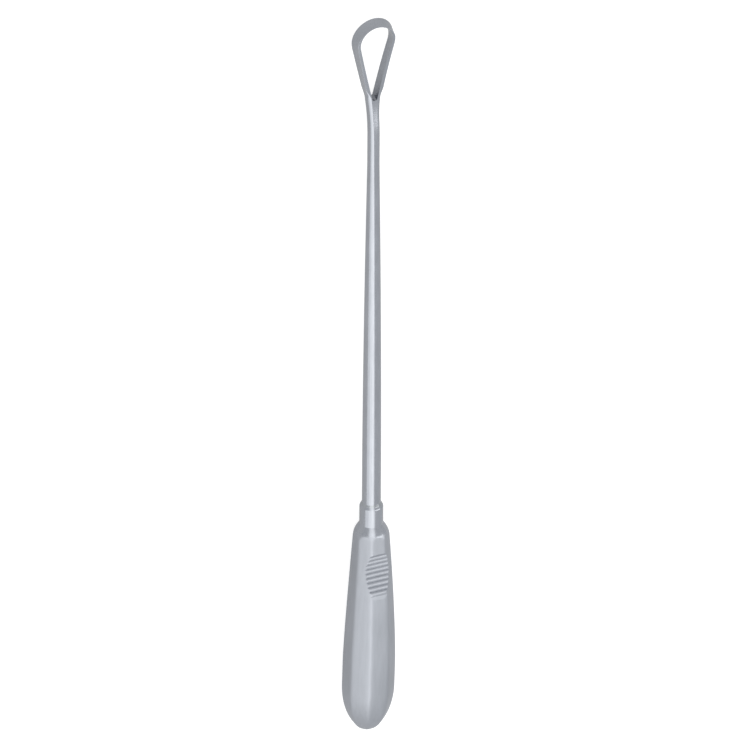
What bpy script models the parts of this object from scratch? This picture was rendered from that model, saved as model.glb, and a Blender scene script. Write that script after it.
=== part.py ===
# Uterine curette: a forged loop and shaft brazed into an octagonal steel grip.
# Metres, +Z up. The tool is modelled along its own axis: Y runs from the collar's rim (y = 0)
# out to the loop (+Y) and down the grip (-Y), and the sharp side of the loop faces +Z.
# It is then laid down as it rests, on the grip's back flat and the underside of the loop.
import math

import bmesh
import bpy
from mathutils import Vector

MM = 0.001

# Loop, seen from its sharp side. Heights are counted from the crotch, where the legs meet.
CROTCH_Y = 177.9 * MM
FRONT_HALF_WIDTH = 8.05 * MM
FRONT_HEAD_RISE = 8.3 * MM
FRONT_HEAD_CENTRE = 25.15 * MM
BACK_HALF_WIDTH = 8.5 * MM
BACK_HEAD_RISE = 9.3 * MM
BACK_HEAD_CENTRE = 25.2 * MM
LOOP_DEPTH = 4.4 * MM
LEG_LAND = 1.55 * MM
LEG_BACK_LAND = 1.9 * MM
HEAD_LAND = 1.15 * MM
HEAD_BACK_LAND = 1.05 * MM
EDGE_LAND = 0.12 * MM
LAND_FALL = 0.8 * MM
LAND_FALL_OVER = 6.2 * MM
LEG_FOOT_OUT = 2.65 * MM
CROTCH_HALF_GAP = 1.0 * MM
CROTCH_DROP = 0.75 * MM
LOOP_LIFT = 2.85 * MM
SET_BACK = 1.2 * MM
SET_BACK_OVER = 22.0 * MM
LOOP_CORNER = 0.2 * MM
CROTCH_CORNER = 1.0 * MM
CORNER_GROWS_OVER = 8.0 * MM

# Shaft
THROAT_RADIUS = 2.3 * MM
ROOT_RADIUS = 3.55 * MM
TAPER_START = 29.4 * MM
TAPER_LENGTH = 131.0 * MM
TAPER_POWER = 1.7
THROAT_BLEND = 0.9 * MM
ROUND_BY = 10.0 * MM
TANG_LENGTH = 24.0 * MM
TANG_CHAMFER = 0.8 * MM

# Grip. The flats lie at a share of the radius across the ridges, which are rounded off.
FIT_GAP = 0.3 * MM
COLLAR_RADIUS = 4.5 * MM
COLLAR_LENGTH = 6.3 * MM
LIP_LENGTH = 1.3 * MM
LIP_WALL = 0.25 * MM
SHOULDER_LENGTH = 5.2 * MM
SHOULDER_CLEAR = 0.6 * MM
SHOULDER_POWER = 1.2
GRIP_TOP_Y = 10.3 * MM
GRIP_TOP_RADIUS = 6.73 * MM
GRIP_RADIUS = 9.92 * MM
FLAT_RATIO = 0.9475
WIDEST_Y = 69.5 * MM
WIDEST_RUN = 10.8 * MM
SWELL_POWER = 1.37
BUTT_LENGTH = 20.0 * MM
GRIP_DROP = 3.15 * MM
FLATS = 8

# Thumb rest
REST_TOP_Y = 17.4 * MM
REST_LENGTH = 20.0 * MM
REST_DEPTH = 1.85 * MM
REST_SKEW = 0.73
RIB_PITCH = 2.0 * MM
RIB_HEIGHT = 0.4 * MM
GROOVES = 9
FIRST_GROOVE = 2.6 * MM

# Fineness of the lofts
HEAD_ROWS = 20
LEG_ROWS = 12
CROTCH_ROWS = 5
THROAT_ROWS = 8
BEND_ROWS = 4
SHAFT_ROWS = 13
CORNER_STEPS = 4
UNDERSIDE_STEPS = 80
MERGE = 0.00001

HALF_FLAT_ANGLE = math.pi / FLATS
RIDGE_HALF_WIDTH = (FLAT_RATIO / math.cos(HALF_FLAT_ANGLE) - 1.0) / math.tan(HALF_FLAT_ANGLE)
BORE_RADIUS = ROOT_RADIUS + FIT_GAP
GRIP_END_Y = WIDEST_Y + WIDEST_RUN + BUTT_LENGTH


def smooth(t):
    t = min(max(t, 0.0), 1.0)
    return t * t * (3.0 - 2.0 * t)


def mix(a, b, t):
    return a + (b - a) * t


# Radius of the round shaft at a height above the crotch (negative down the shaft)
def shaft_radius(height):
    t = (-height - TAPER_START) / TAPER_LENGTH
    t = min(max(t, 0.0), 1.0)
    return THROAT_RADIUS + (ROOT_RADIUS - THROAT_RADIUS) * (1.0 - (1.0 - t) ** TAPER_POWER)


# One point of a teardrop outline: 0 to 1 is the head's quarter ellipse, from the crown to where
# the leg touches it, and 1 to 2 is the straight leg down to its foot
def teardrop(half_width, rise, centre, foot, t):
    px = foot / half_width
    py = -centre / rise
    reach = math.hypot(px, py)
    touch = math.atan2(py, px) + math.acos(1.0 / reach)
    if t <= 1.0:
        angle = mix(math.pi / 2.0, touch, t)
        return Vector((half_width * math.cos(angle), centre + rise * math.sin(angle)))
    top = Vector((half_width * math.cos(touch), centre + rise * math.sin(touch)))
    return top.lerp(Vector((foot, 0.0)), t - 1.0)


# The leg's outer line melts into the side of the shaft
def melt(x, height):
    side = shaft_radius(height)
    gap = x - side
    return side + (gap + math.hypot(gap, THROAT_BLEND)) / 2.0


def leg_line(half_width, rise, centre, height):
    top = teardrop(half_width, rise, centre, LEG_FOOT_OUT, 1.0)
    return LEG_FOOT_OUT + (top.x - LEG_FOOT_OUT) * height / top.y


# Half the depth of the section, from the loop's band to the round shaft
def half_depth(height):
    return mix(LOOP_DEPTH / 2.0, shaft_radius(height), smooth(-height / ROUND_BY))


# The neck sets the loop back a little, and the loop bends towards its sharp side again
def lift(height):
    crown = BACK_HEAD_CENTRE + BACK_HEAD_RISE
    forward = LOOP_LIFT * (max(height, 0.0) / crown) ** 2
    return forward - SET_BACK * smooth((height + SET_BACK_OVER) / SET_BACK_OVER)


# The outer corners are nearly sharp round the head, and rounder down the legs to the crotch
def corner_radius(height):
    return mix(CROTCH_CORNER, LOOP_CORNER, smooth(height / CORNER_GROWS_OVER))


# A section is four corners and the lengths cut off its two outer ones: the inner front corner,
# the outer front one, the outer back one and the inner back one
def rounded_section(inner_front, outer_front, outer_back, inner_back, radius):
    points = [inner_front]
    # The outer side is shared by both corners, so each may take no more than half of it
    for before, corner, after, share_back, share_ahead in (
        (inner_front, outer_front, outer_back, 0.98, 0.49),
        (outer_front, outer_back, inner_back, 0.49, 0.98),
    ):
        back = before - corner
        ahead = after - corner
        cut_back = min(radius, share_back * back.length)
        cut_ahead = min(radius, share_ahead * ahead.length)
        start = corner + back.normalized() * cut_back
        end = corner + ahead.normalized() * cut_ahead
        for step in range(CORNER_STEPS + 1):
            u = step / CORNER_STEPS
            weight = math.sqrt(0.5) * 2.0 * u * (1.0 - u)
            total = (1.0 - u) ** 2 + weight + u ** 2
            points.append((start * (1.0 - u) ** 2 + corner * weight + end * u ** 2) / total)
    points.append(inner_back)
    return points


# The flat front land runs down both legs and is ground away to a sharp edge round the head
def land_share(t):
    return smooth((t - 0.36) / 0.5)


# Down the legs the land falls away outwards from its inner edge
def land_fall(t, height):
    return LAND_FALL * land_share(t) * smooth(height / LAND_FALL_OVER)


def loop_row(t):
    outer_front = teardrop(FRONT_HALF_WIDTH, FRONT_HEAD_RISE, FRONT_HEAD_CENTRE, LEG_FOOT_OUT, t)
    outer_back = teardrop(BACK_HALF_WIDTH, BACK_HEAD_RISE, BACK_HEAD_CENTRE, LEG_FOOT_OUT, t)
    inner_front = teardrop(
        FRONT_HALF_WIDTH - LEG_LAND, FRONT_HEAD_RISE - HEAD_LAND, FRONT_HEAD_CENTRE, CROTCH_HALF_GAP, t
    )
    inner_back = teardrop(
        BACK_HALF_WIDTH - LEG_BACK_LAND, BACK_HEAD_RISE - HEAD_BACK_LAND, BACK_HEAD_CENTRE,
        CROTCH_HALF_GAP, t,
    )
    if t > 1.0:
        outer_front.x = melt(outer_front.x, outer_front.y)
        outer_back.x = melt(outer_back.x, outer_back.y)
    land = outer_front - inner_front
    outer_front = inner_front + land.normalized() * mix(EDGE_LAND, land.length, land_share(t))
    return inner_front, outer_front, outer_back, inner_back


def corner_points(plan, height_of, fall=0.0):
    corners = []
    for index, point in enumerate(plan):
        height = point.y
        side = 1.0 if index < 2 else -1.0
        z = side * height_of(height) + lift(height)
        corners.append(Vector((point.x, CROTCH_Y + height, z)))
    corners[1].z -= fall
    return corners


def half_loop_rows():
    rows = []
    for step in range(HEAD_ROWS + LEG_ROWS + 1):
        t = step / HEAD_ROWS if step <= HEAD_ROWS else 1.0 + (step - HEAD_ROWS) / LEG_ROWS
        plan = loop_row(t)
        corners = corner_points(plan, half_depth, land_fall(t, plan[1].y))
        rows.append(rounded_section(*corners, corner_radius(plan[1].y)))
    # Round the bottom of the gap between the legs
    for step in range(1, CROTCH_ROWS + 1):
        turn = math.pi / 2.0 * step / CROTCH_ROWS
        height = -CROTCH_DROP * math.sin(turn)
        gap = CROTCH_HALF_GAP * math.cos(turn) if step < CROTCH_ROWS else 0.0
        front_x = leg_line(FRONT_HALF_WIDTH, FRONT_HEAD_RISE, FRONT_HEAD_CENTRE, height)
        back_x = leg_line(BACK_HALF_WIDTH, BACK_HEAD_RISE, BACK_HEAD_CENTRE, height)
        plan = (
            Vector((gap, height)), Vector((melt(front_x, height), height)),
            Vector((melt(back_x, height), height)), Vector((gap, height)),
        )
        rows.append(rounded_section(*corner_points(plan, half_depth), CROTCH_CORNER))
    return rows


def shaft_section(height, front_x, back_x, radius):
    plan = (
        Vector((0.0, height)), Vector((front_x, height)),
        Vector((back_x, height)), Vector((0.0, height)),
    )
    return rounded_section(*corner_points(plan, half_depth), radius)


def half_shaft_rows():
    rows = []
    for step in range(1, THROAT_ROWS + 1):
        t = step / THROAT_ROWS
        height = mix(-CROTCH_DROP, -ROUND_BY, t)
        front_x = melt(leg_line(FRONT_HALF_WIDTH, FRONT_HEAD_RISE, FRONT_HEAD_CENTRE, height), height)
        back_x = melt(leg_line(BACK_HALF_WIDTH, BACK_HEAD_RISE, BACK_HEAD_CENTRE, height), height)
        full = shaft_radius(height)
        rows.append(shaft_section(
            height, mix(front_x, full, smooth(t)), mix(back_x, full, smooth(t)),
            mix(CROTCH_CORNER, 0.98 * full, smooth(t)),
        ))
    end = -(CROTCH_Y + TANG_LENGTH)
    heights = [mix(-ROUND_BY, -SET_BACK_OVER, step / BEND_ROWS) for step in range(1, BEND_ROWS + 1)]
    for step in range(1, SHAFT_ROWS + 1):
        heights.append(mix(-SET_BACK_OVER, end + TANG_CHAMFER, step / SHAFT_ROWS))
    for height in heights:
        full = shaft_radius(height)
        rows.append(shaft_section(height, full, full, 0.98 * full))
    tip = shaft_radius(end) - TANG_CHAMFER
    last = []
    for point in rows[-1]:
        shrink = tip / shaft_radius(end)
        last.append(Vector((point.x * shrink, CROTCH_Y + end, point.z * shrink)))
    rows.append(last)
    return rows


def new_material(name, colour, roughness):
    material = bpy.data.materials.new(name)
    material.use_nodes = True
    shader = material.node_tree.nodes["Principled BSDF"]
    shader.inputs["Base Color"].default_value = (*colour, 1.0)
    shader.inputs["Metallic"].default_value = 1.0
    shader.inputs["Roughness"].default_value = roughness
    return material


def object_from_bmesh(name, mesh, collection):
    data = bpy.data.meshes.new(name)
    mesh.to_mesh(data)
    mesh.free()
    thing = bpy.data.objects.new(name, data)
    collection.objects.link(thing)
    return thing


def make_cutter(thing):
    thing.hide_render = True
    thing.display_type = "WIRE"
    return thing


def boolean(thing, cutter, operation):
    modifier = thing.modifiers.new(cutter.name, "BOOLEAN")
    modifier.operation = operation
    modifier.object = cutter
    modifier.solver = "EXACT"


def build_loop_shaft(collection):
    mesh = bmesh.new()
    loop_rows = half_loop_rows()
    all_rows = loop_rows + half_shaft_rows()
    rows = [[mesh.verts.new(point) for point in row] for row in all_rows]
    for index in range(len(rows) - 1):
        upper = rows[index]
        lower = rows[index + 1]
        for column in range(len(upper) - 1):
            mesh.faces.new((upper[column], lower[column], lower[column + 1], upper[column + 1]))
        # The wall that faces the opening, down to where the legs meet
        if index < len(loop_rows) - 1:
            mesh.faces.new((upper[-1], lower[-1], lower[0], upper[0]))
    mesh.faces.new(reversed(rows[-1]))
    thing = object_from_bmesh("loop_shaft", mesh, collection)
    mirror = thing.modifiers.new("other half", "MIRROR")
    mirror.use_axis = (True, False, False)
    mirror.use_clip = True
    mirror.merge_threshold = MERGE
    return thing


# Radius across the grip's ridges at a distance below the collar's rim
def ridge_radius(down):
    if down < WIDEST_Y:
        swell = (WIDEST_Y - down) / (WIDEST_Y - GRIP_TOP_Y)
        return GRIP_RADIUS - (GRIP_RADIUS - GRIP_TOP_RADIUS) * swell ** SWELL_POWER
    past = max(down - WIDEST_Y - WIDEST_RUN, 0.0) / BUTT_LENGTH
    return GRIP_RADIUS * math.sqrt(max(1.0 - past * past, 0.0))


# The grip droops smoothly to the back, away from the line of the shaft
def droop(down):
    return GRIP_DROP * (max(down - GRIP_TOP_Y, 0.0) / (GRIP_END_Y - GRIP_TOP_Y)) ** 2


def grip_stations():
    downs = [-2.0 * LIP_LENGTH]
    steps = 12
    for step in range(steps + 1):
        downs.append(mix(COLLAR_LENGTH, WIDEST_Y, step / steps))
    downs.append(WIDEST_Y + WIDEST_RUN)
    for degrees in (15, 29, 42, 54, 64, 72, 79, 85):
        downs.append(WIDEST_Y + WIDEST_RUN + BUTT_LENGTH * math.sin(math.radians(degrees)))
    return downs


# An octagon with a narrow land along each ridge
def octagon(mesh, down):
    radius = ridge_radius(down)
    ring = []
    for corner in range(FLATS):
        angle = HALF_FLAT_ANGLE + 2.0 * HALF_FLAT_ANGLE * corner
        for side in (-1.0, 1.0):
            aside = side * RIDGE_HALF_WIDTH * radius
            x = radius * math.cos(angle) - aside * math.sin(angle)
            z = radius * math.sin(angle) + aside * math.cos(angle) - droop(down)
            ring.append(mesh.verts.new((x, -down, z)))
    return ring


def build_grip_body(collection):
    mesh = bmesh.new()
    rings = [octagon(mesh, down) for down in grip_stations()]
    for upper, lower in zip(rings, rings[1:]):
        for corner in range(len(upper)):
            after = (corner + 1) % len(upper)
            mesh.faces.new((upper[corner], upper[after], lower[after], lower[corner]))
    mesh.faces.new(reversed(rings[0]))
    mesh.faces.new(rings[-1])
    bmesh.ops.recalc_face_normals(mesh, faces=mesh.faces[:])
    return object_from_bmesh("handle", mesh, collection)


# The blank that the collar and shoulder are turned on. Beyond the shoulder it is clear of the flats.
def build_blank(collection):
    clear = 2.0 * GRIP_RADIUS
    lip = BORE_RADIUS + LIP_WALL
    profile = [(0.0, LIP_LENGTH), (lip, LIP_LENGTH), (COLLAR_RADIUS, 0.0)]
    steps = 8
    for step in range(steps + 1):
        t = step / steps
        radius = mix(COLLAR_RADIUS, GRIP_TOP_RADIUS + SHOULDER_CLEAR, t ** SHOULDER_POWER)
        profile.append((radius, -COLLAR_LENGTH - SHOULDER_LENGTH * t))
    profile.append((clear, -COLLAR_LENGTH - SHOULDER_LENGTH))
    profile.append((clear, -2.0 * GRIP_END_Y))
    profile.append((0.0, -2.0 * GRIP_END_Y))
    mesh = bmesh.new()
    verts = [mesh.verts.new((radius, 0.0, along)) for radius, along in profile]
    for first, second in zip(verts, verts[1:]):
        mesh.edges.new((first, second))
    blank = object_from_bmesh("turned_blank", mesh, collection)
    screw = blank.modifiers.new("turn", "SCREW")
    screw.axis = "Z"
    screw.steps = 48
    screw.render_steps = 48
    screw.use_merge_vertices = True
    screw.merge_threshold = MERGE
    # The profile is drawn upright and laid along the tool's axis
    blank.rotation_euler = (-math.pi / 2.0, 0.0, 0.0)
    return make_cutter(blank)


def build_bore(collection):
    length = TANG_LENGTH + FIT_GAP + 2.0 * LIP_LENGTH
    mesh = bmesh.new()
    bmesh.ops.create_cone(
        mesh, cap_ends=True, segments=32, radius1=BORE_RADIUS, radius2=BORE_RADIUS, depth=length
    )
    bore = object_from_bmesh("tang_bore", mesh, collection)
    bore.rotation_euler = (math.pi / 2.0, 0.0, 0.0)
    bore.location = (0.0, 2.0 * LIP_LENGTH - length / 2.0, 0.0)
    return make_cutter(bore)


# Height of the front flat above the tool's axis
def flat_height(down):
    return ridge_radius(down) * FLAT_RATIO - droop(down)


def rest_floor(along):
    depth = REST_DEPTH * math.sin(math.pi * (along / REST_LENGTH) ** REST_SKEW)
    past = along - FIRST_GROOVE
    rib = 0.0
    if 0.0 < past < RIB_PITCH * (GROOVES - 1):
        rib = RIB_HEIGHT * abs(math.sin(math.pi * past / RIB_PITCH))
    return flat_height(REST_TOP_Y + along) - max(depth - rib, 0.0)


# The milled thumb rest: a dish with cross ribs, cut out of the front flat and its two ridges
def build_rest_cutter(collection):
    above = GRIP_RADIUS * 1.5
    outline = [(-REST_TOP_Y, above), (-REST_TOP_Y, flat_height(REST_TOP_Y) + FIT_GAP)]
    per_groove = 4
    count = round(REST_LENGTH / RIB_PITCH * per_groove)
    for step in range(count + 1):
        along = min(FIRST_GROOVE % (RIB_PITCH / per_groove) + step * RIB_PITCH / per_groove, REST_LENGTH)
        outline.append((-REST_TOP_Y - along, rest_floor(along)))
        if along == REST_LENGTH:
            break
    end = REST_TOP_Y + REST_LENGTH
    outline.append((-end, flat_height(end) + FIT_GAP))
    outline.append((-end, above))
    width = 2.0 * GRIP_RADIUS
    mesh = bmesh.new()
    face = mesh.faces.new([mesh.verts.new((-width, along, z)) for along, z in outline])
    extruded = bmesh.ops.extrude_face_region(mesh, geom=[face])
    moved = [item for item in extruded["geom"] if isinstance(item, bmesh.types.BMVert)]
    bmesh.ops.translate(mesh, verts=moved, vec=(2.0 * width, 0.0, 0.0))
    bmesh.ops.recalc_face_normals(mesh, faces=mesh.faces[:])
    return make_cutter(object_from_bmesh("thumb_rest", mesh, collection))


# The underside, as points along the tool: the grip's back flat, and the loop with its shaft
def grip_underside():
    return [(-down, -ridge_radius(down) * FLAT_RATIO - droop(down)) for down in grip_stations()[1:]]


def blade_underside():
    crown = BACK_HEAD_CENTRE + BACK_HEAD_RISE
    heights = [mix(-SET_BACK_OVER, crown, step / UNDERSIDE_STEPS) for step in range(UNDERSIDE_STEPS + 1)]
    return [(CROTCH_Y + height, lift(height) - half_depth(height)) for height in heights]


# The line that touches the grip and the blade from below, found by letting the tool settle
def rest_line():
    slope = 0.0
    for _ in range(12):
        back = min(grip_underside(), key=lambda point: point[1] - slope * point[0])
        front = min(blade_underside(), key=lambda point: point[1] - slope * point[0])
        slope = (front[1] - back[1]) / (front[0] - back[0])
    return slope, back


def main():
    for thing in list(bpy.data.objects):
        bpy.data.objects.remove(thing, do_unlink=True)
    scene = bpy.context.scene.collection
    parts = bpy.data.collections.new("uterine_curette")
    cutters = bpy.data.collections.new("cutters")
    scene.children.link(parts)
    scene.children.link(cutters)

    steel = new_material("forged_steel", (0.62, 0.64, 0.67), 0.28)
    grip_steel = new_material("grip_steel", (0.56, 0.59, 0.63), 0.34)

    loop_shaft = build_loop_shaft(parts)
    loop_shaft.data.materials.append(steel)

    handle = build_grip_body(parts)
    handle.data.materials.append(grip_steel)
    blank = build_blank(cutters)
    rest = build_rest_cutter(cutters)
    bore = build_bore(cutters)
    boolean(handle, blank, "INTERSECT")
    boolean(handle, rest, "DIFFERENCE")
    boolean(handle, bore, "DIFFERENCE")

    loop_shaft.data.shade_smooth()
    loop_shaft.data.set_sharp_from_angle(angle=math.radians(35.0))

    # Lay the tool down, with the middle of its length over the origin
    slope, touch = rest_line()
    angle = math.atan(slope)
    laid = bpy.data.objects.new("laid_down", None)
    scene.objects.link(laid)
    for thing in (loop_shaft, handle, blank, rest, bore):
        thing.parent = laid
    laid.rotation_euler = (-angle, 0.0, 0.0)
    length = CROTCH_Y + BACK_HEAD_CENTRE + BACK_HEAD_RISE + GRIP_END_Y
    middle = length / 2.0 - GRIP_END_Y
    floor = touch[1] * math.cos(angle) - touch[0] * math.sin(angle)
    laid.location = (0.0, -middle * math.cos(angle), -floor)


main()
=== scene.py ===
import math

import bmesh
import bpy
from mathutils import Matrix, Vector


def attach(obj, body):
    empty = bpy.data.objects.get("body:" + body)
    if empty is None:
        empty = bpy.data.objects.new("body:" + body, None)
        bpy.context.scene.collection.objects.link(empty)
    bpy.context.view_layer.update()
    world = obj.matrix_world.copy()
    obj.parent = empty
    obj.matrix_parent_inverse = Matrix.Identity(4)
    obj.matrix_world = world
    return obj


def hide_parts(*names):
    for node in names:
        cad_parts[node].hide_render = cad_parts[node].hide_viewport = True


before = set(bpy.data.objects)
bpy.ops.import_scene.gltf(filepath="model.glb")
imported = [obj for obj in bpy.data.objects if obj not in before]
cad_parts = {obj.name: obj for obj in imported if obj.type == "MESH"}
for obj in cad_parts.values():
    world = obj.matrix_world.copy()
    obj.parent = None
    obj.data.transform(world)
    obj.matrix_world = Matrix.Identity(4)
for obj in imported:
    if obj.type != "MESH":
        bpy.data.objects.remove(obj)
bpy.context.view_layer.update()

# The blade: loop, neck, shaft and tang, forged in one from stainless bar. The loop's band is
# ground to a sharp edge round the front of its head, and its two legs run together at the
# crotch into a round shaft that thickens towards the grip. Finished in satin along its length.
MM = 0.001
CROTCH_Y = 177.9 * MM
# The loop's front and back rims: half the width, the rise of the head over its centre, and the
# height of that centre over the crotch
FRONT_HALF_WIDTH, FRONT_HEAD_RISE, FRONT_HEAD_CENTRE = 7.52 * MM, 8.2 * MM, 25.26 * MM
BACK_HALF_WIDTH, BACK_HEAD_RISE, BACK_HEAD_CENTRE = 8.35 * MM, 9.1 * MM, 25.1 * MM
LOOP_DEPTH = 4.36 * MM
LEG_LAND, LEG_BACK_LAND = 1.0 * MM, 1.78 * MM
HEAD_LAND, HEAD_BACK_LAND = 1.15 * MM, 1.05 * MM
EDGE_LAND = 0.08 * MM
LAND_FALL, LAND_FALL_OVER = 0.06 * MM, 6.0 * MM
LEG_FOOT_OUT = 2.42 * MM
CROTCH_HALF_GAP, CROTCH_DROP = 1.02 * MM, 0.75 * MM
LOOP_LIFT, SET_BACK, SET_BACK_OVER = 2.85 * MM, 1.2 * MM, 16.0 * MM
LOOP_CORNER, CROTCH_CORNER, CORNER_GROWS_OVER = 0.04 * MM, 1.7 * MM, 5.0 * MM
NECK_ROUNDNESS, ROUND_OVER = 0.67, 45.0 * MM
THROAT_RADIUS, ROOT_RADIUS = 2.3 * MM, 3.55 * MM
TAPER_START, TAPER_LENGTH, TAPER_POWER = 29.4 * MM, 131.0 * MM, 1.7
THROAT_BLEND = 0.9 * MM
ROUND_BY = 10.0 * MM
TANG_LENGTH, TANG_CHAMFER = 24.0 * MM, 0.8 * MM
# Where the front land starts on its way down the head, and how fast it grows to its full width
LAND_START, LAND_GROWS_OVER = 0.36, 0.45
# How much a squarish section is drawn in, and how far a rounded corner may run along a side
DRAWN_IN, CORNER_REACH = 0.245, 0.98
CORNER_STEPS = 9
WELD_DISTANCE = 0.002 * MM
STEEL_COLOUR = (0.412, 0.43, 0.468)
TINT_DARK, TINT_LIGHT = 0.93, 1.06
GRAIN_GLOSS, CLOUD_GLOSS = 0.02, 0.015
GRAIN_DEPTH, GRAIN_STRENGTH = 0.002 * MM, 0.12

# The curette as it lies: on the grip's back flat and the underside of the loop, which tips
# its axis by a little under two degrees. Pieces are made along the tool's own axis, with the
# collar's rim at zero and the loop towards +Y, and are then laid down by this one matrix.
LIE_TILT = math.radians(1.7323825)
RIM_ON_TABLE = Vector((0.0, -56.0244 * MM, 8.872 * MM))
LAID_DOWN = Matrix.Translation(RIM_ON_TABLE) @ Matrix.Rotation(-LIE_TILT, 4, "X")


def lay_down(name, mesh, material, smooth_angle):
    data = bpy.data.meshes.new(name)
    mesh.to_mesh(data)
    mesh.free()
    data.transform(LAID_DOWN)
    data.materials.append(material)
    data.shade_smooth()
    data.set_sharp_from_angle(angle=math.radians(smooth_angle))
    piece = bpy.data.objects.new(name, data)
    bpy.context.scene.collection.objects.link(piece)
    return piece


def smooth(t):
    t = min(max(t, 0.0), 1.0)
    return t * t * (3.0 - 2.0 * t)


def mix(a, b, t):
    return a + (b - a) * t


def shaft_radius(height):
    t = min(max((-height - TAPER_START) / TAPER_LENGTH, 0.0), 1.0)
    return THROAT_RADIUS + (ROOT_RADIUS - THROAT_RADIUS) * (1.0 - (1.0 - t) ** TAPER_POWER)


# One point of a rim of the loop: 0 to 1 round the head from its crown, 1 to 2 down the leg
def rim_point(half_width, rise, centre, foot, t):
    px, py = foot / half_width, -centre / rise
    touch = math.atan2(py, px) + math.acos(1.0 / math.hypot(px, py))
    if t <= 1.0:
        angle = mix(math.pi / 2.0, touch, t)
        return Vector((half_width * math.cos(angle), centre + rise * math.sin(angle)))
    top = Vector((half_width * math.cos(touch), centre + rise * math.sin(touch)))
    return top.lerp(Vector((foot, 0.0)), t - 1.0)


def melt(x, height):
    side = shaft_radius(height)
    gap = x - side
    return side + (gap + math.hypot(gap, THROAT_BLEND)) / 2.0


def leg_x(half_width, rise, centre, height):
    top = rim_point(half_width, rise, centre, LEG_FOOT_OUT, 1.0)
    return LEG_FOOT_OUT + (top.x - LEG_FOOT_OUT) * height / top.y


# How round the shaft is: squarish where it leaves the neck, and truly round near the grip
def roundness(height):
    return 1.0 - (1.0 - NECK_ROUNDNESS) * math.exp(min(height + ROUND_BY, 0.0) / ROUND_OVER)


# Half the side of that squarish section, drawn in so that it looks no wider than a round one
def shaft_side(height):
    return shaft_radius(height) * (1.0 - DRAWN_IN * (1.0 - roundness(height)))


def shaft_corner(height):
    return CORNER_REACH * roundness(height) * shaft_radius(height)


def half_depth(height):
    return mix(LOOP_DEPTH / 2.0, shaft_side(height), smooth(-height / ROUND_BY))


# The neck sets the loop back a little, and the loop bends towards its sharp side again
def lift(height):
    forward = LOOP_LIFT * (max(height, 0.0) / (BACK_HEAD_CENTRE + BACK_HEAD_RISE)) ** 2
    return forward - SET_BACK * smooth((height + SET_BACK_OVER) / SET_BACK_OVER)


def corner_radius(height):
    return mix(CROTCH_CORNER, LOOP_CORNER, smooth(height / CORNER_GROWS_OVER))


# A cross-section from the inner front corner round the outside to the inner back corner
def blade_section(plan, radius, fall=0.0):
    corners = []
    for index, point in enumerate(plan):
        side = 1.0 if index < 2 else -1.0
        z = side * half_depth(point.y) + lift(point.y)
        corners.append(Vector((point.x, CROTCH_Y + point.y, z)))
    corners[1].z -= fall
    points = [corners[0]]
    for before, corner, after, share_back, share_ahead in (
        (corners[0], corners[1], corners[2], CORNER_REACH, CORNER_REACH / 2.0),
        (corners[1], corners[2], corners[3], CORNER_REACH / 2.0, CORNER_REACH),
    ):
        back, ahead = before - corner, after - corner
        start = corner + back.normalized() * min(radius, share_back * back.length)
        end = corner + ahead.normalized() * min(radius, share_ahead * ahead.length)
        for step in range(CORNER_STEPS + 1):
            u = step / CORNER_STEPS
            weight = math.sqrt(0.5) * 2.0 * u * (1.0 - u)
            total = (1.0 - u) ** 2 + weight + u ** 2
            points.append((start * (1.0 - u) ** 2 + corner * weight + end * u ** 2) / total)
    points.append(corners[3])
    return points


# The front land runs down both legs and is ground away to a sharp edge round the head
def land_share(t):
    return smooth((t - LAND_START) / LAND_GROWS_OVER)


def band_plan(t):
    front = (FRONT_HALF_WIDTH, FRONT_HEAD_RISE, FRONT_HEAD_CENTRE)
    back = (BACK_HALF_WIDTH, BACK_HEAD_RISE, BACK_HEAD_CENTRE)
    outer_front = rim_point(*front, LEG_FOOT_OUT, t)
    outer_back = rim_point(*back, LEG_FOOT_OUT, t)
    inner_front = rim_point(front[0] - LEG_LAND, front[1] - HEAD_LAND, front[2], CROTCH_HALF_GAP, t)
    inner_back = rim_point(
        back[0] - LEG_BACK_LAND, back[1] - HEAD_BACK_LAND, back[2], CROTCH_HALF_GAP, t
    )
    if t > 1.0:
        outer_front.x = melt(outer_front.x, outer_front.y)
        outer_back.x = melt(outer_back.x, outer_back.y)
    land = outer_front - inner_front
    outer_front = inner_front + land.normalized() * mix(EDGE_LAND, land.length, land_share(t))
    return inner_front, outer_front, outer_back, inner_back


def neck_plan(height, gap, round_share):
    full = shaft_side(height)
    front = leg_x(FRONT_HALF_WIDTH, FRONT_HEAD_RISE, FRONT_HEAD_CENTRE, height)
    back = leg_x(BACK_HALF_WIDTH, BACK_HEAD_RISE, BACK_HEAD_CENTRE, height)
    return (
        Vector((gap, height)), Vector((mix(melt(front, height), full, round_share), height)),
        Vector((mix(melt(back, height), full, round_share), height)), Vector((gap, height)),
    )


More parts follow.
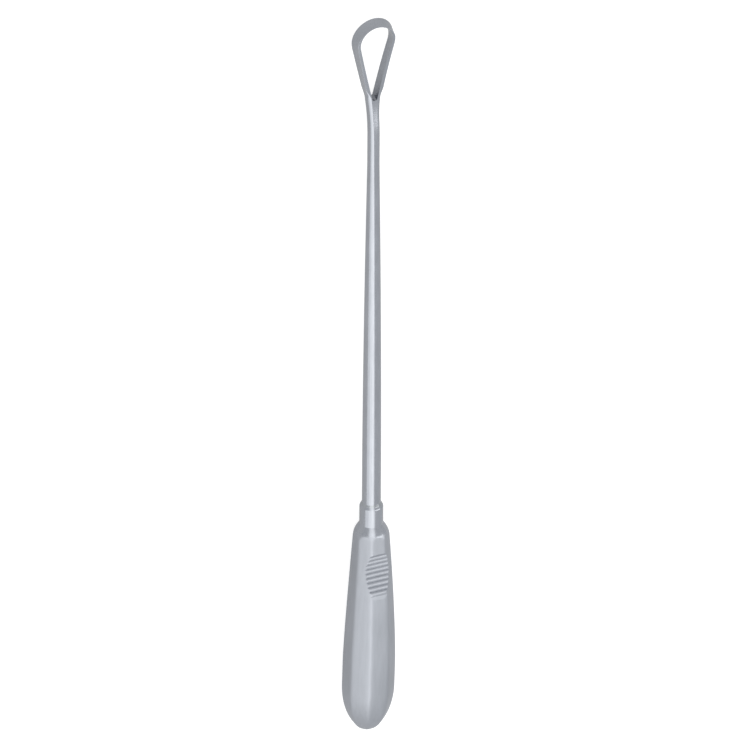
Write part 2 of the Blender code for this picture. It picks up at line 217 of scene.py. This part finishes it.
# Satin steel: fine streaks along the tool, and broad clouds in its tint and its gloss
def satin_steel(name, colour, roughness, ground_roughness, grain_width, grain_length, cloud):
    material = bpy.data.materials.new(name)
    material.use_nodes = True
    nodes, links = material.node_tree.nodes, material.node_tree.links
    shader = nodes["Principled BSDF"]
    shader.inputs["Metallic"].default_value = 1.0
    place = nodes.new("ShaderNodeTexCoord")

    def streaks(width, length, detail):
        mapping = nodes.new("ShaderNodeMapping")
        mapping.inputs["Rotation"].default_value = (LIE_TILT, 0.0, 0.0)
        mapping.inputs["Scale"].default_value = (1.0 / width, 1.0 / length, 1.0 / width)
        noise = nodes.new("ShaderNodeTexNoise")
        noise.inputs["Scale"].default_value = 1.0
        noise.inputs["Detail"].default_value = detail
        links.new(place.outputs["Object"], mapping.inputs["Vector"])
        links.new(mapping.outputs["Vector"], noise.inputs["Vector"])
        return noise.outputs["Fac"]

    def spread(value, low, high):
        ramp = nodes.new("ShaderNodeMapRange")
        ramp.inputs["From Min"].default_value = 0.3
        ramp.inputs["From Max"].default_value = 0.7
        ramp.inputs["To Min"].default_value = low
        ramp.inputs["To Max"].default_value = high
        links.new(value, ramp.inputs["Value"])
        return ramp.outputs["Result"]

    fine = streaks(grain_width, grain_length, 4.0)
    broad = streaks(grain_width * 9.0, grain_length * 1.6, 2.0)
    clouds = streaks(cloud, cloud * 1.8, 3.0)

    tint = nodes.new("ShaderNodeMix")
    tint.data_type = "RGBA"
    tint.inputs["A"].default_value = (*[channel * TINT_DARK for channel in colour], 1.0)
    tint.inputs["B"].default_value = (*[channel * TINT_LIGHT for channel in colour], 1.0)
    blend = nodes.new("ShaderNodeMath")
    blend.operation = "MULTIPLY_ADD"
    blend.inputs[1].default_value = 0.5
    links.new(spread(clouds, 0.0, 1.0), blend.inputs[0])
    half = nodes.new("ShaderNodeMath")
    half.operation = "MULTIPLY"
    half.inputs[1].default_value = 0.5
    links.new(spread(broad, 0.0, 1.0), half.inputs[0])
    links.new(half.outputs["Value"], blend.inputs[2])
    links.new(blend.outputs["Value"], tint.inputs["Factor"])
    links.new(tint.outputs["Result"], shader.inputs["Base Color"])

    # Where the attribute says that the surface was ground and not turned, it is duller
    ground = nodes.new("ShaderNodeAttribute")
    ground.attribute_name = "ground"
    base = nodes.new("ShaderNodeMapRange")
    base.inputs["To Min"].default_value = roughness
    base.inputs["To Max"].default_value = ground_roughness
    links.new(ground.outputs["Fac"], base.inputs["Value"])
    gloss = nodes.new("ShaderNodeMath")
    gloss.operation = "ADD"
    links.new(spread(fine, -GRAIN_GLOSS, GRAIN_GLOSS), gloss.inputs[0])
    links.new(spread(clouds, -CLOUD_GLOSS, CLOUD_GLOSS), gloss.inputs[1])
    total = nodes.new("ShaderNodeMath")
    total.operation = "ADD"
    links.new(base.outputs["Result"], total.inputs[0])
    links.new(gloss.outputs["Value"], total.inputs[1])
    links.new(total.outputs["Value"], shader.inputs["Roughness"])

    bump = nodes.new("ShaderNodeBump")
    bump.inputs["Strength"].default_value = GRAIN_STRENGTH
    bump.inputs["Distance"].default_value = GRAIN_DEPTH
    links.new(fine, bump.inputs["Height"])
    links.new(bump.outputs["Normal"], shader.inputs["Normal"])
    return material


HEAD_ROWS, LEG_ROWS, CROTCH_ROWS, NECK_ROWS, BEND_ROWS, SHAFT_ROWS = 72, 40, 10, 30, 20, 60
blade_rows = []
for step in range(HEAD_ROWS + LEG_ROWS + 1):
    t = step / HEAD_ROWS if step <= HEAD_ROWS else 1.0 + (step - HEAD_ROWS) / LEG_ROWS
    plan = band_plan(t)
    fall = LAND_FALL * land_share(t) * smooth(plan[1].y / LAND_FALL_OVER)
    blade_rows.append(blade_section(plan, corner_radius(plan[1].y), fall))
for step in range(1, CROTCH_ROWS + 1):
    turn = math.pi / 2.0 * step / CROTCH_ROWS
    gap = CROTCH_HALF_GAP * math.cos(turn) if step < CROTCH_ROWS else 0.0
    plan = neck_plan(-CROTCH_DROP * math.sin(turn), gap, 0.0)
    blade_rows.append(blade_section(plan, CROTCH_CORNER))
open_rows = len(blade_rows)
for step in range(1, NECK_ROWS + 1):
    t = step / NECK_ROWS
    height = mix(-CROTCH_DROP, -ROUND_BY, t)
    corner = mix(CROTCH_CORNER, shaft_corner(height), smooth(t))
    blade_rows.append(blade_section(neck_plan(height, 0.0, smooth(t)), corner))
tang_end = -(CROTCH_Y + TANG_LENGTH)
shaft_heights = [
    mix(-ROUND_BY, -SET_BACK_OVER, step / BEND_ROWS) for step in range(1, BEND_ROWS + 1)
]
for step in range(1, SHAFT_ROWS + 1):
    shaft_heights.append(mix(-SET_BACK_OVER, tang_end + TANG_CHAMFER, step / SHAFT_ROWS))
for height in shaft_heights:
    blade_rows.append(blade_section(neck_plan(height, 0.0, 1.0), shaft_corner(height)))
tip_share = 1.0 - TANG_CHAMFER / shaft_radius(tang_end)
blade_rows.append([
    Vector((point.x * tip_share, CROTCH_Y + tang_end, point.z * tip_share))
    for point in blade_rows[-1]
])

blade_mesh = bmesh.new()
for side in (1.0, -1.0):
    rows = [
        [blade_mesh.verts.new((point.x * side, point.y, point.z)) for point in row]
        for row in blade_rows
    ]
    made = []
    for index, (upper, lower) in enumerate(zip(rows, rows[1:])):
        for column in range(len(upper) - 1):
            made.append(blade_mesh.faces.new(
                (upper[column], lower[column], lower[column + 1], upper[column + 1])
            ))
        if index < open_rows - 1:
            made.append(blade_mesh.faces.new((upper[-1], lower[-1], lower[0], upper[0])))
    made.append(blade_mesh.faces.new(reversed(rows[-1])))
    if side < 0.0:
        bmesh.ops.reverse_faces(blade_mesh, faces=made)
bmesh.ops.remove_doubles(blade_mesh, verts=blade_mesh.verts[:], dist=WELD_DISTANCE)

blade_steel = satin_steel(
    "blade_satin_steel", STEEL_COLOUR, roughness=0.22, ground_roughness=0.22,
    grain_width=0.09 * MM, grain_length=4.0 * MM, cloud=9.0 * MM,
)
blade = lay_down("forged_blade", blade_mesh, blade_steel, smooth_angle=32.0)
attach(blade, "root")
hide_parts("loop_shaft")

# The grip: an octagonal stainless handle. Its collar and shoulder are turned, and the eight
# flats are ground along it after, so each ends on the shoulder in an arc and the ridges
# between them stay softly rounded. It droops a little to the back of the shaft's line.
FLATS = 8
COLLAR_RADIUS, COLLAR_LENGTH = 4.5 * MM, 7.6 * MM
BORE_CLEARANCE = 0.3 * MM
BORE_RADIUS = ROOT_RADIUS + BORE_CLEARANCE
LIP_LENGTH, LIP_WALL, RIM_ROUNDING = 0.9 * MM, 0.14 * MM, 0.14 * MM
SHOULDER_LENGTH, SHOULDER_SWELL, SHOULDER_SLOPE = 4.3 * MM, 1.95 * MM, 0.07
SHOULDER_ROUND, SHOULDER_RUN_OUT = 1.45, 0.3
GRIP_TOP_Y, GRIP_TOP_RADIUS = 10.3 * MM, 6.73 * MM
GRIP_RADIUS = 9.92 * MM
FLAT_RATIO = 0.946
WIDEST_Y, WIDEST_RUN = 69.5 * MM, 10.8 * MM
SWELL_POWER = 1.37
BUTT_LENGTH = 20.0 * MM
GRIP_DROP = 3.15 * MM
# The higher these are, the less the ridges and the edge of the shoulder are rounded
RIDGE_HARDNESS, SHOULDER_HARDNESS = 34.0, 90.0
FLAT_CROWN, FLAT_REACH = 0.931, 1.2
GRIP_SMOOTH_ANGLE = 30.0
GRIP_END_Y = WIDEST_Y + WIDEST_RUN + BUTT_LENGTH
SHOULDER_GONE = COLLAR_LENGTH + 2.2 * SHOULDER_LENGTH


def ridge_radius(down):
    if down < WIDEST_Y:
        swell = (WIDEST_Y - down) / (WIDEST_Y - GRIP_TOP_Y)
        return GRIP_RADIUS - (GRIP_RADIUS - GRIP_TOP_RADIUS) * swell ** SWELL_POWER
    past = max(down - WIDEST_Y - WIDEST_RUN, 0.0) / BUTT_LENGTH
    return GRIP_RADIUS * math.sqrt(max(1.0 - past * past, 0.0))


def droop(down):
    return GRIP_DROP * (max(down - GRIP_TOP_Y, 0.0) / (GRIP_END_Y - GRIP_TOP_Y)) ** 2


def turned_radius(down):
    past = max(down - COLLAR_LENGTH, 0.0)
    left = max(1.0 - past / SHOULDER_LENGTH, 0.0)
    radius = COLLAR_RADIUS + SHOULDER_SWELL * (1.0 - left ** SHOULDER_ROUND) + SHOULDER_SLOPE * past
    radius += SHOULDER_RUN_OUT * max(past - SHOULDER_LENGTH, 0.0)
    lip = COLLAR_RADIUS + (COLLAR_RADIUS - BORE_RADIUS - LIP_WALL) * down / LIP_LENGTH
    return (radius + lip - math.hypot(radius - lip, RIM_ROUNDING)) / 2.0


# The flats as one rounded octagon: each flat pulls the radius in, and together they round the
# ridge. A flat reaches no further round than a little past its two neighbours' middles.
def grip_radius(down, angle):
    flat = max(ridge_radius(down), 0.02 * MM) * FLAT_RATIO
    pull = 0.0
    for index in range(FLATS):
        off = math.remainder(angle - 2.0 * math.pi * index / FLATS, 2.0 * math.pi)
        if abs(off) < FLAT_REACH:
            pull += (math.cos(off * FLAT_CROWN) / flat) ** RIDGE_HARDNESS
    radius = pull ** (-1.0 / RIDGE_HARDNESS)
    if down > SHOULDER_GONE:
        return radius
    pull = radius ** -SHOULDER_HARDNESS + turned_radius(down) ** -SHOULDER_HARDNESS
    return pull ** (-1.0 / SHOULDER_HARDNESS)


# Rings down the grip: close together at the rim and over the shoulder, wider apart below it
grip_downs = [mix(-LIP_LENGTH, -0.4 * MM, step / 6) for step in range(7)]
grip_downs += [mix(-0.35 * MM, 0.5 * MM, step / 17) for step in range(18)]
grip_downs += [mix(0.8 * MM, COLLAR_LENGTH, step / 8) for step in range(9)]
grip_downs += [COLLAR_LENGTH + 0.14 * MM * step for step in range(1, 56)]
start = grip_downs[-1]
grip_downs += [mix(start, WIDEST_Y + WIDEST_RUN, step / 90) for step in range(1, 91)]
grip_downs += [
    WIDEST_Y + WIDEST_RUN + BUTT_LENGTH * math.sin(math.radians(2.5 * step))
    for step in range(1, 35)
]
COLUMNS_PER_FLAT = 18
grip_angles = []
for index in range(FLATS):
    for column in range(COLUMNS_PER_FLAT):
        # Columns crowd towards the ridges, where the surface turns
        across = 2.0 * column / COLUMNS_PER_FLAT - 1.0
        eased = math.sin(across * math.pi / 2.0)
        grip_angles.append((2.0 * index + eased) * math.pi / FLATS)

grip_mesh = bmesh.new()
grip_rings = []
for down in (TANG_LENGTH + BORE_CLEARANCE, -LIP_LENGTH):
    grip_rings.append([
        grip_mesh.verts.new((BORE_RADIUS * math.sin(angle), -down, BORE_RADIUS * math.cos(angle)))
        for angle in grip_angles
    ])
for down in grip_downs:
    ring = []
    for angle in grip_angles:
        radius = grip_radius(down, angle)
        ring.append(grip_mesh.verts.new(
            (radius * math.sin(angle), -down, radius * math.cos(angle) - droop(down))
        ))
    grip_rings.append(ring)
for upper, lower in zip(grip_rings, grip_rings[1:]):
    for column in range(len(grip_angles)):
        after = (column + 1) % len(grip_angles)
        grip_mesh.faces.new((upper[column], upper[after], lower[after], lower[column]))
grip_mesh.faces.new(grip_rings[0])
grip_mesh.faces.new(reversed(grip_rings[-1]))
bmesh.ops.recalc_face_normals(grip_mesh, faces=grip_mesh.faces[:])

grip_steel = satin_steel(
    "grip_satin_steel", STEEL_COLOUR, roughness=0.24, ground_roughness=0.48,
    grain_width=0.12 * MM, grain_length=6.0 * MM, cloud=14.0 * MM,
)
grip = lay_down("octagonal_grip", grip_mesh, grip_steel, smooth_angle=GRIP_SMOOTH_ANGLE)

# The thumb rest: a shallow dish milled across the front flat, with a row of rounded ribs left
# standing for the thumb. It is cut with a form cutter, made here as a block with the ribs
# taken out of it, and the dish runs out over the ridge on each side.
REST_TOP_Y, REST_LENGTH = 18.1 * MM, 19.3 * MM
REST_DEPTH, REST_SKEW = 1.85 * MM, 0.73
RIB_PITCH, RIB_HEIGHT = 1.91 * MM, 0.4 * MM
GROOVES, FIRST_GROOVE = 10, 0.9 * MM
REST_HALF_WIDTH = 12.0 * MM
DISH_STEPS = 60
# How far the change from turned to ground runs, and how much glossier the milled rest is
GROUND_BLEND, MILLED_BLEND, MILLED_GLOSS = 0.8 * MM, 0.12 * MM, 0.75


def dish_height(along):
    flat = ridge_radius(REST_TOP_Y + along) * FLAT_RATIO - droop(REST_TOP_Y + along)
    return flat - REST_DEPTH * math.sin(math.pi * (along / REST_LENGTH) ** REST_SKEW)


def rest_object(name, mesh):
    data = bpy.data.meshes.new(name)
    mesh.to_mesh(data)
    mesh.free()
    data.transform(LAID_DOWN)
    tool = bpy.data.objects.new(name, data)
    bpy.context.scene.collection.objects.link(tool)
    return tool


def plain_mesh(thing):
    bpy.context.view_layer.update()
    graph = bpy.context.evaluated_depsgraph_get()
    made = bpy.data.meshes.new_from_object(thing.evaluated_get(graph))
    thing.modifiers.clear()
    thing.data = made


def cut_away(thing, cutter):
    cut = thing.modifiers.new(cutter.name, "BOOLEAN")
    cut.operation = "DIFFERENCE"
    cut.object = cutter
    cut.solver = "EXACT"
    cut.use_self = True
    plain_mesh(thing)
    bpy.data.objects.remove(cutter)


def rib_row():
    tree = bpy.data.node_groups.new("rib_row", "GeometryNodeTree")
    face = tree.interface
    face.new_socket("Geometry", in_out="INPUT", socket_type="NodeSocketGeometry")
    for name, kind in (
        ("Rib radius", "NodeSocketFloat"), ("Rib length", "NodeSocketFloat"),
        ("Steel", "NodeSocketMaterial"),
    ):
        face.new_socket(name, in_out="INPUT", socket_type=kind)
    face.new_socket("Geometry", in_out="OUTPUT", socket_type="NodeSocketGeometry")
    add, link = tree.nodes.new, tree.links.new
    given, result = add("NodeGroupInput"), add("NodeGroupOutput")
    points, bar = add("GeometryNodeMeshToPoints"), add("GeometryNodeMeshCylinder")
    placed, real = add("GeometryNodeInstanceOnPoints"), add("GeometryNodeRealizeInstances")
    painted = add("GeometryNodeSetMaterial")
    bar.inputs["Vertices"].default_value = 96
    placed.inputs["Rotation"].default_value = (0.0, math.pi / 2.0, 0.0)
    link(given.outputs["Geometry"], points.inputs["Mesh"])
    link(given.outputs["Rib radius"], bar.inputs["Radius"])
    link(given.outputs["Rib length"], bar.inputs["Depth"])
    link(points.outputs["Points"], placed.inputs["Points"])
    link(bar.outputs["Mesh"], placed.inputs["Instance"])
    link(placed.outputs["Instances"], real.inputs["Geometry"])
    link(real.outputs["Geometry"], painted.inputs["Geometry"])
    link(given.outputs["Steel"], painted.inputs["Material"])
    link(painted.outputs["Geometry"], result.inputs["Geometry"])
    return tree


dish_mesh = bmesh.new()
dish_outline = [(-REST_TOP_Y, 2.0 * GRIP_RADIUS)]
for step in range(DISH_STEPS + 1):
    along = REST_LENGTH * step / DISH_STEPS
    dish_outline.append((-REST_TOP_Y - along, dish_height(along)))
dish_outline.append((-REST_TOP_Y - REST_LENGTH, 2.0 * GRIP_RADIUS))
dish_face = dish_mesh.faces.new([
    dish_mesh.verts.new((-REST_HALF_WIDTH, y, z)) for y, z in dish_outline
])
dish_side = bmesh.ops.extrude_face_region(dish_mesh, geom=[dish_face])["geom"]
bmesh.ops.translate(
    dish_mesh, vec=(2.0 * REST_HALF_WIDTH, 0.0, 0.0),
    verts=[item for item in dish_side if isinstance(item, bmesh.types.BMVert)],
)
bmesh.ops.recalc_face_normals(dish_mesh, faces=dish_mesh.faces[:])
dish = rest_object("thumb_rest_dish", dish_mesh)

# A rib's round is wide enough to meet its neighbours at the bottom of the grooves
rib_radius = ((RIB_PITCH / 2.0) ** 2 + RIB_HEIGHT ** 2) / (2.0 * RIB_HEIGHT)
rib_mesh = bmesh.new()
for index in range(GROOVES - 1):
    along = FIRST_GROOVE + RIB_PITCH * (index + 0.5)
    rib_mesh.verts.new((0.0, -REST_TOP_Y - along, dish_height(along) + RIB_HEIGHT - rib_radius))
ribs = rest_object("thumb_rest_ribs", rib_mesh)
row = ribs.modifiers.new("rib row", "NODES")
row.node_group = rib_row()
row_values = {"Rib radius": rib_radius, "Rib length": 2.4 * REST_HALF_WIDTH, "Steel": grip_steel}
for socket in row.node_group.interface.items_tree:
    if socket.in_out == "INPUT" and socket.name in row_values:
        row[socket.identifier] = row_values[socket.name]
plain_mesh(ribs)
cut_away(dish, ribs)
cut_away(grip, dish)
grip.data.set_sharp_from_angle(angle=math.radians(GRIP_SMOOTH_ANGLE))

# The ground flats are duller than the turned collar and shoulder, and the milled rest lies
# between the two
LAID_BACK = LAID_DOWN.inverted()
ground = grip.data.attributes.new("ground", "FLOAT", "POINT")
for vertex in grip.data.vertices:
    point = LAID_BACK @ vertex.co
    flat_here = ridge_radius(-point.y) * FLAT_RATIO if point.y < 0.0 else GRIP_TOP_RADIUS
    dull = smooth(0.5 + (turned_radius(-point.y) - flat_here) / GROUND_BLEND)
    outside = grip_radius(-point.y, math.atan2(point.x, point.z + droop(-point.y)))
    depth = outside - math.hypot(point.x, point.z + droop(-point.y))
    if REST_TOP_Y < -point.y < REST_TOP_Y + REST_LENGTH:
        dull *= 1.0 - MILLED_GLOSS * smooth(depth / MILLED_BLEND)
    ground.data[vertex.index].value = dull
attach(grip, "root")
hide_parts("handle")

# The braze: a fillet of silver solder drawn up between the collar's lip and the shaft, and
# dressed back with them to one slope, so that hardly more than its tint shows.
BRAZE_RISE, BRAZE_HOLLOW = 0.9 * MM, 0.004 * MM
BRAZE_UNDER_LIP, BRAZE_DEPTH, BRAZE_INTO_SHAFT = 0.02 * MM, 0.4 * MM, 0.15 * MM
BRAZE_INTO_LIP, BRAZE_INNER_TOP = 0.05 * MM, 0.7
PROFILE_STEPS, BRAZE_STEPS = 8, 72
braze_foot = BORE_RADIUS + LIP_WALL - BRAZE_UNDER_LIP
braze_profile = []
for step in range(PROFILE_STEPS + 1):
    t = step / PROFILE_STEPS
    hollow = 4.0 * BRAZE_HOLLOW * t * (1.0 - t)
    braze_profile.append((mix(braze_foot, ROOT_RADIUS, t) - hollow, LIP_LENGTH + BRAZE_RISE * t))
braze_profile.append((ROOT_RADIUS - BRAZE_INTO_SHAFT, LIP_LENGTH + BRAZE_INNER_TOP * BRAZE_RISE))
braze_profile.append((ROOT_RADIUS - BRAZE_INTO_SHAFT, LIP_LENGTH - BRAZE_DEPTH))
braze_profile.append((BORE_RADIUS + BRAZE_INTO_LIP, LIP_LENGTH - BRAZE_DEPTH))
braze_mesh = bmesh.new()
braze_rings = []
for step in range(BRAZE_STEPS):
    turn = 2.0 * math.pi * step / BRAZE_STEPS
    braze_rings.append([
        braze_mesh.verts.new((radius * math.sin(turn), along, radius * math.cos(turn)))
        for radius, along in braze_profile
    ])
for step in range(BRAZE_STEPS):
    here, there = braze_rings[step], braze_rings[(step + 1) % BRAZE_STEPS]
    for index in range(len(braze_profile)):
        after = (index + 1) % len(braze_profile)
        braze_mesh.faces.new((here[index], there[index], there[after], here[after]))
bmesh.ops.recalc_face_normals(braze_mesh, faces=braze_mesh.faces[:])
braze_silver = satin_steel(
    "braze_silver", (0.41, 0.43, 0.455), roughness=0.24, ground_roughness=0.24,
    grain_width=0.3 * MM, grain_length=0.6 * MM, cloud=3.0 * MM,
)
braze = lay_down("braze_fillet", braze_mesh, braze_silver, smooth_angle=50.0)
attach(braze, "root")

# The table it lies on: a plain, pale, matt board that keeps the tool's soft shadow. It glows
# for the camera and fainter for the steel, and so shows white without lighting the tool more.
TABLE_HALF_WIDTH = 30.0
TABLE_COLOUR = (0.4, 0.4, 0.4, 1.0)
TABLE_SEEN, TABLE_IN_METAL = 0.78, 0.25
table_mesh = bmesh.new()
bmesh.ops.create_grid(table_mesh, x_segments=1, y_segments=1, size=TABLE_HALF_WIDTH)
table_data = bpy.data.meshes.new("table")
table_mesh.to_mesh(table_data)
table_mesh.free()
table = bpy.data.objects.new("table", table_data)
bpy.context.scene.collection.objects.link(table)
table_white = bpy.data.materials.new("table_white")
table_white.use_nodes = True
tree = table_white.node_tree
tree.nodes.clear()
matt = tree.nodes.new("ShaderNodeBsdfDiffuse")
matt.inputs["Color"].default_value = TABLE_COLOUR
glow = tree.nodes.new("ShaderNodeEmission")
glow.inputs["Color"].default_value = (1.0, 1.0, 1.0, 1.0)
seen = tree.nodes.new("ShaderNodeLightPath")
to_camera_ray = tree.nodes.new("ShaderNodeMath")
to_camera_ray.operation = "MULTIPLY"
to_camera_ray.inputs[1].default_value = TABLE_SEEN
share = tree.nodes.new("ShaderNodeMath")
share.operation = "MULTIPLY_ADD"
share.inputs[1].default_value = TABLE_IN_METAL
both = tree.nodes.new("ShaderNodeAddShader")
out = tree.nodes.new("ShaderNodeOutputMaterial")
tree.links.new(seen.outputs["Is Camera Ray"], to_camera_ray.inputs[0])
tree.links.new(seen.outputs["Is Glossy Ray"], share.inputs[0])
tree.links.new(to_camera_ray.outputs["Value"], share.inputs[2])
tree.links.new(share.outputs["Value"], glow.inputs["Strength"])
tree.links.new(matt.outputs["BSDF"], both.inputs[0])
tree.links.new(glow.outputs["Emission"], both.inputs[1])
tree.links.new(both.outputs["Shader"], out.inputs["Surface"])
table_data.materials.append(table_white)

# The light: an even pale room, and soft panels. The wide one overhead lights the left of each
# round, and narrower ones lift that to a strip that ends hard on the right, where they all
# stop, and runs on down the shoulder. A small one to the right lights the ribs and the rim.
ROOM_COLOUR, ROOM_STRENGTH, ROOM_SEEN = (0.97, 0.985, 1.0, 1.0), 0.73, 1.0
PANEL_COLOUR, PANEL_DISTANCE = (1.0, 0.99, 0.965), 1.6
world = bpy.data.worlds.new("pale_room")
world.use_nodes = True
bpy.context.scene.world = world
tree = world.node_tree
room = tree.nodes["Background"]
room.inputs["Color"].default_value = ROOM_COLOUR
seen = tree.nodes.new("ShaderNodeLightPath")
ramp = tree.nodes.new("ShaderNodeMapRange")
ramp.inputs["To Min"].default_value = ROOM_STRENGTH
ramp.inputs["To Max"].default_value = ROOM_SEEN
tree.links.new(seen.outputs["Is Camera Ray"], ramp.inputs["Value"])
tree.links.new(ramp.outputs["Result"], room.inputs["Strength"])

# Each panel's left and right limits round the tool, its near and far limits along it, in
# degrees, and how bright it is
for name, left, right, near, far, radiance in (
    ("wide_panel", -75.0, 3.0, 59.0, -2.0, 0.66), ("strip_panel", -48.0, 3.0, 59.0, -46.0, 0.37),
    ("edge_panel", -19.0, 3.0, 59.0, -46.0, 0.22), ("shoulder_panel", -36.0, 3.0, -2.0, -46.0, 0.56),
    ("rib_panel", 13.0, 58.0, 12.0, -4.0, 2.7),
):
    turn, lean = math.radians(left + right) / 2.0, math.radians(near + far) / 2.0
    way = Vector((
        math.sin(turn) * math.cos(lean), -math.sin(lean), math.cos(turn) * math.cos(lean),
    ))
    across = Vector((math.cos(turn), 0.0, -math.sin(turn)))
    panel_light = bpy.data.lights.new(name, "AREA")
    panel_light.shape = "RECTANGLE"
    panel_light.size = 2.0 * PANEL_DISTANCE * math.tan(math.radians(right - left) / 2.0)
    panel_light.size_y = 2.0 * PANEL_DISTANCE * math.tan(math.radians(near - far) / 2.0)
    panel_light.color = PANEL_COLOUR
    panel_light.energy = radiance * math.pi * panel_light.size * panel_light.size_y
    panel = bpy.data.objects.new(name, panel_light)
    bpy.context.scene.collection.objects.link(panel)
    axes = Matrix((across, way.cross(across), way)).transposed()
    panel.matrix_world = Matrix.Translation(way * PANEL_DISTANCE) @ axes.to_4x4()
    panel.visible_camera = False

# The camera: a long lens from the loop's side, above and to the left, so that a ridge of the
# grip faces it and the loop's outer side shows all round its head.
VIEW_TURN = math.radians(24.5)
VIEW_SLANT = math.radians(31.8)
VIEW_ROLL = math.radians(0.35)
LENS, SENSOR = 1650.0, 36.0
MM_PER_PIXEL = 0.373 * MM
PICTURE = 750
# A point of the tool's axis near its middle, and where it lies in the picture
MIDDLE_Y = 36.5 * MM
MIDDLE_PIXEL = (371.85, 421.7)
to_camera = Vector((
    -math.sin(VIEW_TURN) * math.cos(VIEW_SLANT), math.sin(VIEW_SLANT),
    math.cos(VIEW_TURN) * math.cos(VIEW_SLANT),
))
tool_turn = LAID_DOWN.to_3x3()
ahead = -to_camera
right = ahead.cross(Vector((0.0, 1.0, 0.0))).normalized()
above = right.cross(ahead)
rolled_right = right * math.cos(VIEW_ROLL) + above * math.sin(VIEW_ROLL)
rolled_above = above * math.cos(VIEW_ROLL) - right * math.sin(VIEW_ROLL)
axes = [tool_turn @ axis for axis in (rolled_right, rolled_above, to_camera)]
distance = MM_PER_PIXEL * PICTURE / 2.0 / (SENSOR / 2.0 / LENS)
aim = LAID_DOWN @ Vector((0.0, MIDDLE_Y, 0.0))
aim -= axes[0] * (MIDDLE_PIXEL[0] - PICTURE / 2.0) * MM_PER_PIXEL
aim += axes[1] * (MIDDLE_PIXEL[1] - PICTURE / 2.0) * MM_PER_PIXEL
camera_data = bpy.data.cameras.new("camera")
camera_data.lens, camera_data.sensor_width = LENS, SENSOR
camera_data.clip_end = 100.0
camera = bpy.data.objects.new("camera", camera_data)
bpy.context.scene.collection.objects.link(camera)
stand = Matrix.Translation(aim + axes[2] * distance)
camera.matrix_world = stand @ Matrix(axes).transposed().to_4x4()
bpy.context.scene.camera = camera
bpy.context.scene.view_settings.view_transform = "Standard"
